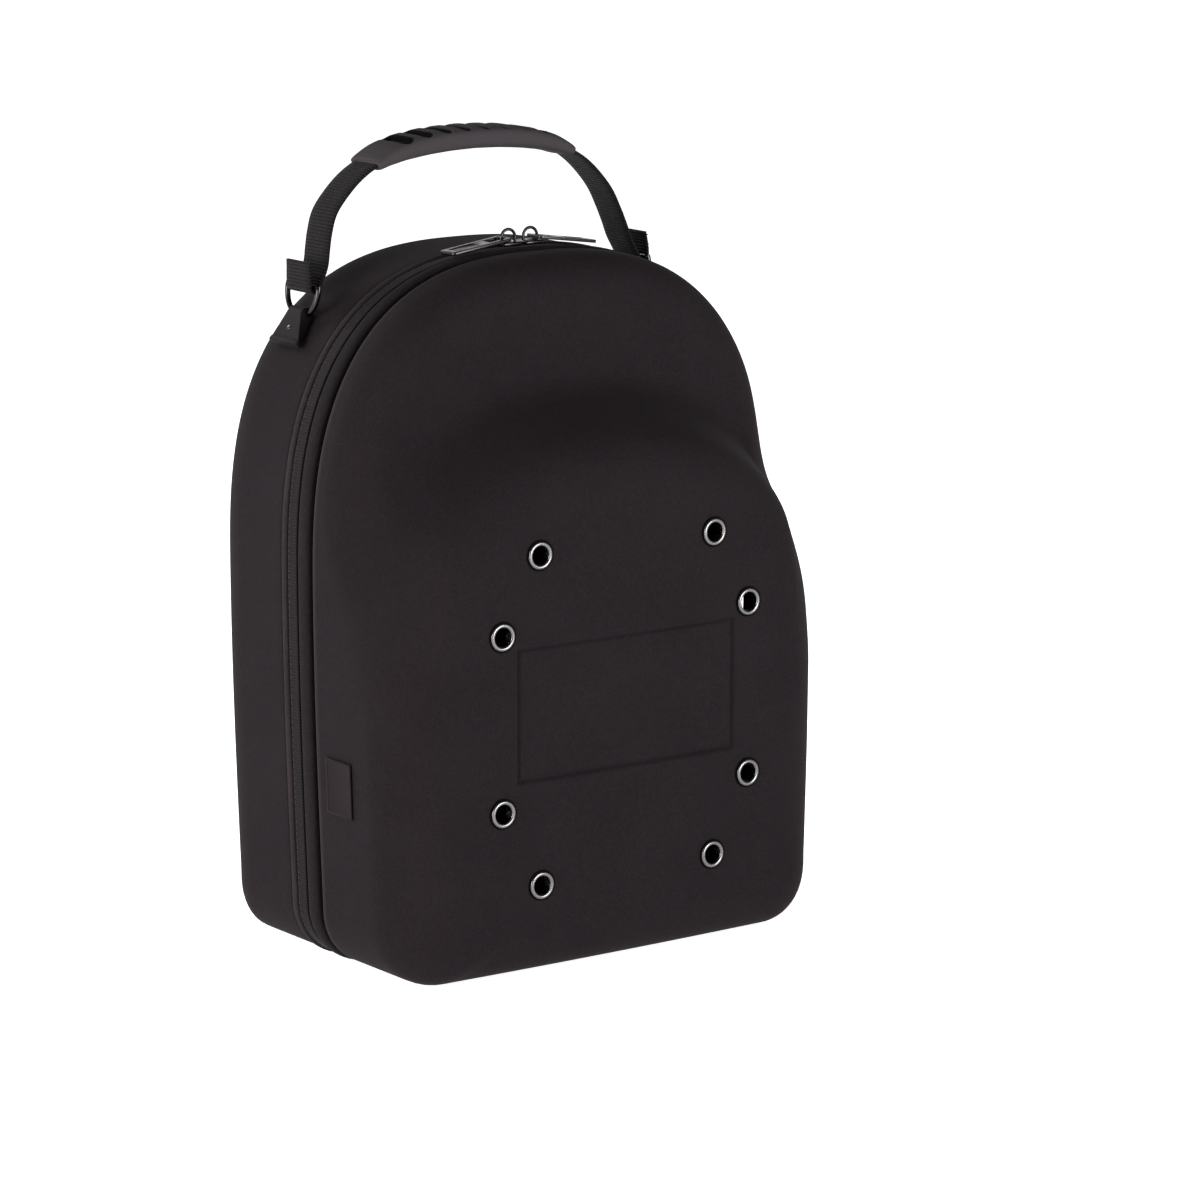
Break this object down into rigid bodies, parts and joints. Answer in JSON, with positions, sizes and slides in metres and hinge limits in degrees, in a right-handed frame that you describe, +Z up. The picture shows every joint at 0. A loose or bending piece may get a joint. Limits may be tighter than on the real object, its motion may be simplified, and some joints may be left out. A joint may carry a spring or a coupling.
{
  "type": "baseball cap carrier case",
  "caption": "Moulded two-half zip case for a nested stack of caps, with a bulged front shell, air eyelets, a webbing carry handle on D-rings and zip pulls that swing.",
  "frame": {"origin": "centre of the footprint, on the ground", "axes": "+Z up towards the handle, the bulged front shell faces -Y, the back panel faces +Y"},
  "size_m": [0.2696, 0.1797, 0.4078],
  "materials": {
    "shell_cloth": "matte",
    "trim_cloth": "matte",
    "webbing": "matte",
    "zip_plastic": "satin",
    "grip_rubber": "satin",
    "tab_rubber": "satin",
    "label_rubber": "satin",
    "gunmetal": "satin",
    "eyelet_steel": "satin"
  },
  "bodies": {
    "root": {"back_piping": "trim_cloth", "back_shell": "shell_cloth", "d_ring_left": "gunmetal", "d_ring_right": "gunmetal", "eyelet_01": "eyelet_steel", "eyelet_02": "eyelet_steel", "eyelet_03": "eyelet_steel", "eyelet_04": "eyelet_steel", "eyelet_05": "eyelet_steel", "eyelet_06": "eyelet_steel", "eyelet_07": "eyelet_steel", "eyelet_08": "eyelet_steel", "front_binding": "trim_cloth", "front_shell": "shell_cloth", "handle_grip": "grip_rubber", "handle_strap": "webbing", "hinge_tape": "trim_cloth", "ring_tab_left": "tab_rubber", "ring_tab_right": "tab_rubber", "side_label": "label_rubber", "slider_left": "gunmetal", "slider_right": "gunmetal", "zip_coil": "zip_plastic", "zip_tape_back": "webbing", "zip_tape_front": "trim_cloth"},
    "pull_left": {"pull_left": "gunmetal"},
    "pull_right": {"pull_right": "gunmetal"}
  },
  "joints": [
    {"name": "pull_left_swing", "type": "hinge", "parent": "root", "child": "pull_left", "pos_m": [-0.0067, 0.004, 0.3553], "axis": [0, 1, 0], "range_deg": [0, 98]},
    {"name": "pull_right_swing", "type": "hinge", "parent": "root", "child": "pull_right", "pos_m": [0.0067, 0.004, 0.3553], "axis": [0, -1, 0], "range_deg": [0, 98]}
  ]
}
